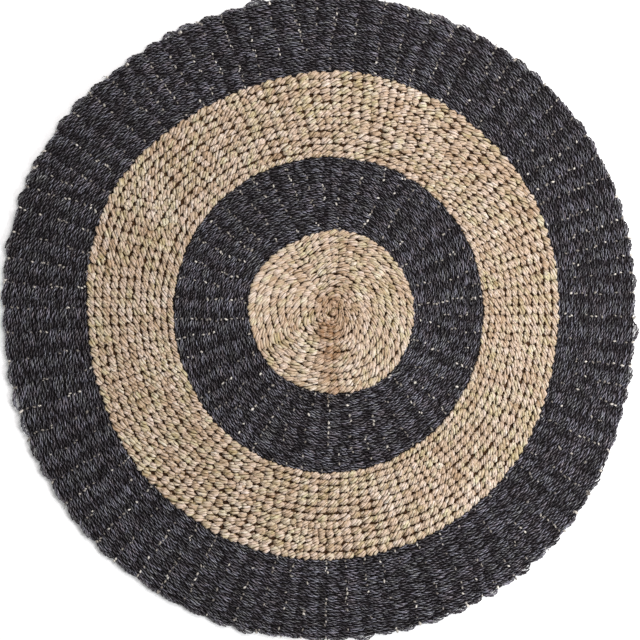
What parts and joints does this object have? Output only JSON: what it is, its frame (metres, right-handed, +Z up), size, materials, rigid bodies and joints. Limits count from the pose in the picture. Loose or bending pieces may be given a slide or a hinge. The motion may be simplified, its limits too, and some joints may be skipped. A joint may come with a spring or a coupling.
{
  "type": "round seagrass rug",
  "caption": "Flat round rug hand-woven from twisted seagrass cord, with natural and black rings, a scalloped edge and a level underside.",
  "frame": {"origin": "on the floor under the middle of the rug's bounding box", "axes": "+Z up out of the floor and through the face of the rug, +X to the right of the picture and +Y to its top"},
  "size_m": [1.481, 1.5092, 0.0144],
  "materials": {
    "black_seagrass": "dyed twisted seagrass cord, dry and faintly glossy along its fibres",
    "natural_seagrass": "undyed twisted seagrass cord, matt straw colour with paler and browner strands"
  },
  "bodies": {
    "root": {"rug": "black_seagrass"}
  },
  "joints": []
}
